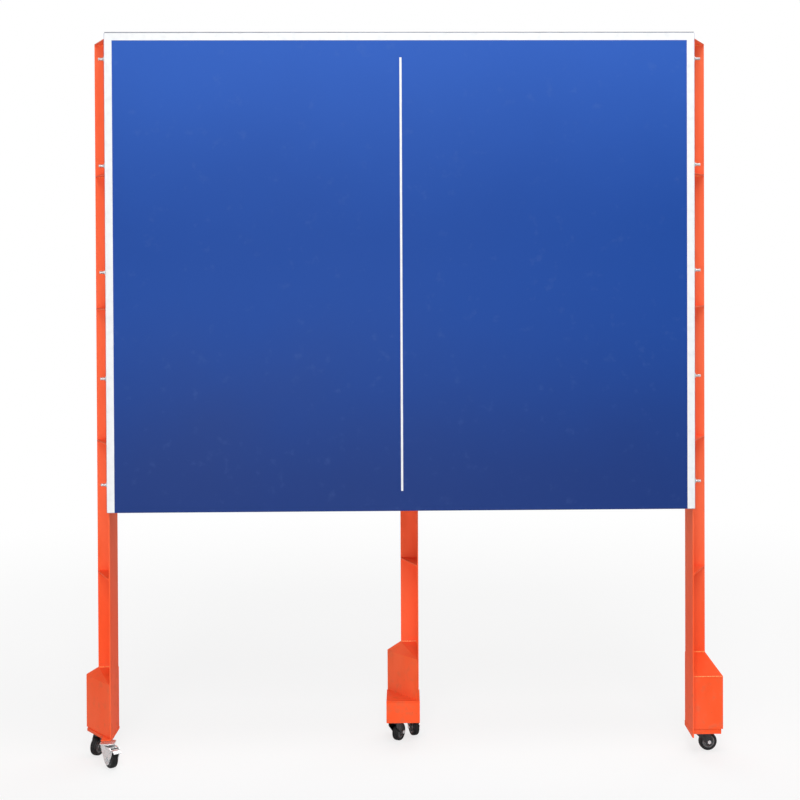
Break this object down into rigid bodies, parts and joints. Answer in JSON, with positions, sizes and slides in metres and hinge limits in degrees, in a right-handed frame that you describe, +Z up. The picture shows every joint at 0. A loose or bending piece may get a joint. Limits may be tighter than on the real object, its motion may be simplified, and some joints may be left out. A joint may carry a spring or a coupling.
{
  "type": "rebound training wall",
  "caption": "Free-standing table tennis rebound board: a playing board on a steel frame between two posts, with a third post behind, on swivel casters.",
  "frame": {"origin": "bottom centre of the object's box, on the floor under the wheels", "axes": "+Z up along the tallest side, +Y from the playing face to the back, the shallowest side, +X to the right as the player sees it"},
  "size_m": [1.69, 0.321, 1.895],
  "materials": {
    "blue_board": "satin blue table paint with white lines",
    "orange_paint": "satin orange powder coat on folded sheet",
    "dark_tube": "semi-matt black powder coat",
    "zinc": "bright zinc plating",
    "black_rubber": "matt",
    "grey_hub": "moulded"
  },
  "bodies": {
    "frame": {"playing_board": "blue_board", "left_frame_tube": "dark_tube", "right_frame_tube": "dark_tube", "top_frame_tube": "dark_tube", "bottom_frame_tube": "dark_tube", "centre_frame_tube": "dark_tube", "upper_rail": "dark_tube", "lower_rail": "dark_tube", "upper_rail_bolt": "zinc", "lower_rail_bolt": "zinc", "left_post": "orange_paint", "right_post": "orange_paint", "centre_post": "orange_paint", "left_foot_cover": "orange_paint", "left_foot_back": "orange_paint", "left_foot_tray": "orange_paint", "right_foot_cover": "orange_paint", "right_foot_back": "orange_paint", "right_foot_tray": "orange_paint", "centre_foot_cover": "orange_paint", "centre_foot_back": "orange_paint", "centre_foot_band": "orange_paint", "left_side_bolt_1": "zinc", "left_side_bolt_2": "zinc", "left_side_bolt_3": "zinc", "left_side_bolt_4": "zinc", "left_side_bolt_5": "zinc", "right_side_bolt_1": "zinc", "right_side_bolt_2": "zinc", "right_side_bolt_3": "zinc", "right_side_bolt_4": "zinc", "right_side_bolt_5": "zinc", "left_front_caster_plate": "zinc", "left_rear_caster_plate": "zinc", "right_caster_plate": "zinc", "centre_left_caster_plate": "zinc", "centre_right_caster_plate": "zinc"},
    "left_front_swivel_fork": {"left_front_fork": "zinc", "left_front_axle": "zinc", "brake_pin": "zinc"},
    "left_front_wheel": {"left_front_hub": "grey_hub", "left_front_tyre": "black_rubber"},
    "brake": {"brake_pedal": "zinc"},
    "left_rear_swivel_fork": {"left_rear_fork": "zinc", "left_rear_axle": "zinc"},
    "left_rear_wheel": {"left_rear_hub": "grey_hub", "left_rear_tyre": "black_rubber"},
    "right_swivel_fork": {"right_fork": "zinc", "right_axle": "zinc"},
    "right_wheel": {"right_hub": "grey_hub", "right_tyre": "black_rubber"},
    "centre_left_swivel_fork": {"centre_left_fork": "zinc", "centre_left_axle": "zinc"},
    "centre_left_wheel": {"centre_left_hub": "grey_hub", "centre_left_tyre": "black_rubber"},
    "centre_right_swivel_fork": {"centre_right_fork": "zinc", "centre_right_axle": "zinc"},
    "centre_right_wheel": {"centre_right_hub": "grey_hub", "centre_right_tyre": "black_rubber"}
  },
  "joints": [
    {"name": "left_front_swivel", "type": "hinge", "parent": "frame", "child": "left_front_swivel_fork", "pos_m": [-0.7645, -0.11021, 0.055], "axis": [0, 0, 1], "continuous": true},
    {"name": "left_front_roll", "type": "hinge", "parent": "left_front_swivel_fork", "child": "left_front_wheel", "pos_m": [-0.75367, -0.12459, 0.024], "axis": [0.7986, 0.6018, 0], "continuous": true},
    {"name": "brake_press", "type": "hinge", "parent": "left_front_swivel_fork", "child": "brake", "pos_m": [-0.74223, -0.13976, 0.0475], "axis": [0.7986, 0.6018, 0], "range_deg": [0, 12]},
    {"name": "left_rear_swivel", "type": "hinge", "parent": "frame", "child": "left_rear_swivel_fork", "pos_m": [-0.8025, -0.00621, 0.055], "axis": [0, 0, 1], "continuous": true},
    {"name": "left_rear_roll", "type": "hinge", "parent": "left_rear_swivel_fork", "child": "left_rear_wheel", "pos_m": [-0.80924, -0.0229, 0.024], "axis": [0.9272, -0.3746, 0], "continuous": true},
    {"name": "right_swivel", "type": "hinge", "parent": "frame", "child": "right_swivel_fork", "pos_m": [0.7925, -0.03621, 0.055], "axis": [0, 0, 1], "continuous": true},
    {"name": "right_roll", "type": "hinge", "parent": "right_swivel_fork", "child": "right_wheel", "pos_m": [0.81032, -0.0337, 0.024], "axis": [-0.1392, 0.9903, 0], "continuous": true},
    {"name": "centre_left_swivel", "type": "hinge", "parent": "frame", "child": "centre_left_swivel_fork", "pos_m": [-0.021, 0.05939, 0.055], "axis": [0, 0, 1], "continuous": true},
    {"name": "centre_left_roll", "type": "hinge", "parent": "centre_left_swivel_fork", "child": "centre_left_wheel", "pos_m": [-0.01255, 0.07528, 0.024], "axis": [-0.8829, 0.4695, 0], "continuous": true},
    {"name": "centre_right_swivel", "type": "hinge", "parent": "frame", "child": "centre_right_swivel_fork", "pos_m": [0.0225, 0.13439, 0.055], "axis": [0, 0, 1], "continuous": true},
    {"name": "centre_right_roll", "type": "hinge", "parent": "centre_right_swivel_fork", "child": "centre_right_wheel", "pos_m": [0.02866, 0.11748, 0.024], "axis": [0.9397, 0.342, 0], "continuous": true}
  ]
}
